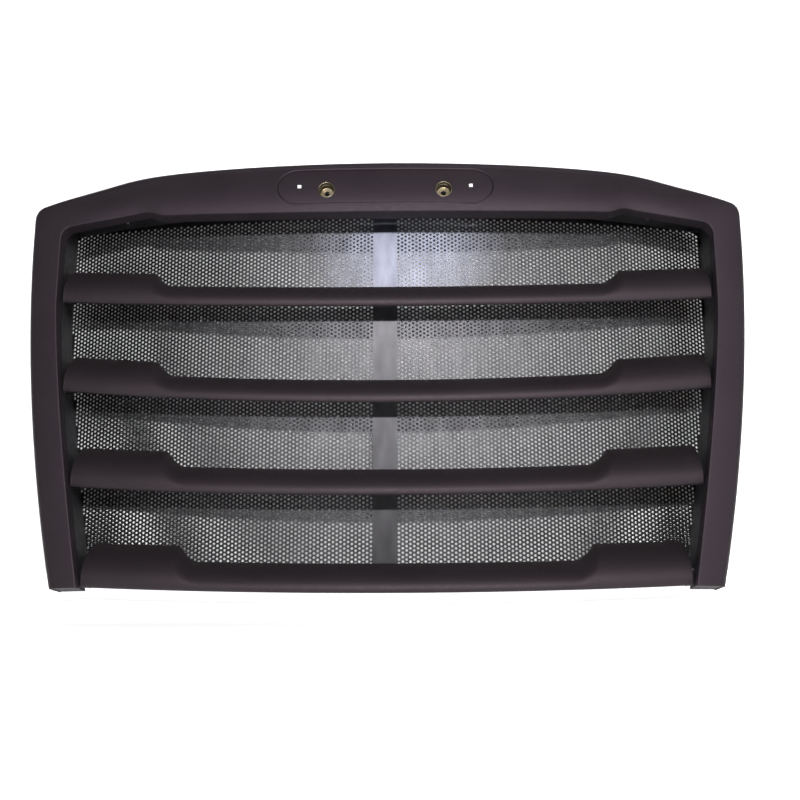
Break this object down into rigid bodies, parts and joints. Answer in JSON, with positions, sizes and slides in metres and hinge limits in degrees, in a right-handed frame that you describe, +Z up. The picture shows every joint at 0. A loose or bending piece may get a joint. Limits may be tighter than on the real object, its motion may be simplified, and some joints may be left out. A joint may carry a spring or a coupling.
{
  "type": "front grille",
  "caption": "Arched truck front grille: moulded surround, hollow convex louvres and a perforated bug screen on a bolt-on inner frame.",
  "frame": {"origin": "midway between the two upper hood bolts, on the rear face of the bracket ears", "axes": "+X to the right seen from the front, the front faces -Y, +Z up; the grille leans back by 17 degrees"},
  "size_m": [1.195, 0.3307, 0.7067],
  "materials": {
    "surround_plastic": "satin, fine grain",
    "louvre_plastic": "satin, fine grain",
    "screen_metal": "satin, perforated",
    "frame_metal": "satin black coat",
    "strap_metal": "zinc plated",
    "bush_brass": "dull, turned",
    "clip_nylon": "white nylon",
    "plug_rubber": "matte",
    "bracket_steel": "zinc plated",
    "fastener_steel": "zinc plated",
    "seal_foam": "closed-cell foam"
  },
  "bodies": {
    "root": {"surround": "surround_plastic", "badge_plate": "surround_plastic", "louvre_1": "louvre_plastic", "louvre_2": "louvre_plastic", "louvre_3": "louvre_plastic", "louvre_4": "louvre_plastic", "bug_screen": "screen_metal", "frame_left": "frame_metal", "frame_right": "frame_metal", "frame_top": "frame_metal", "frame_bottom": "frame_metal", "strap_left": "strap_metal", "strap_right": "strap_metal", "strap_top": "strap_metal", "strap_bottom": "strap_metal", "centre_post": "strap_metal", "badge_bush_left": "bush_brass", "badge_bush_right": "bush_brass", "badge_clips": "clip_nylon", "leg_plug_left": "plug_rubber", "leg_plug_right": "plug_rubber", "bracket_upper_left": "bracket_steel", "bracket_upper_right": "bracket_steel", "bracket_lower_left": "bracket_steel", "bracket_lower_right": "bracket_steel", "louvre_spacers": "louvre_plastic", "louvre_screws": "fastener_steel", "louvre_stays": "frame_metal", "screen_screws": "fastener_steel", "clip_nuts": "frame_metal", "bracket_screws": "fastener_steel", "frame_screws": "frame_metal", "top_seal": "seal_foam"}
  },
  "joints": []
}
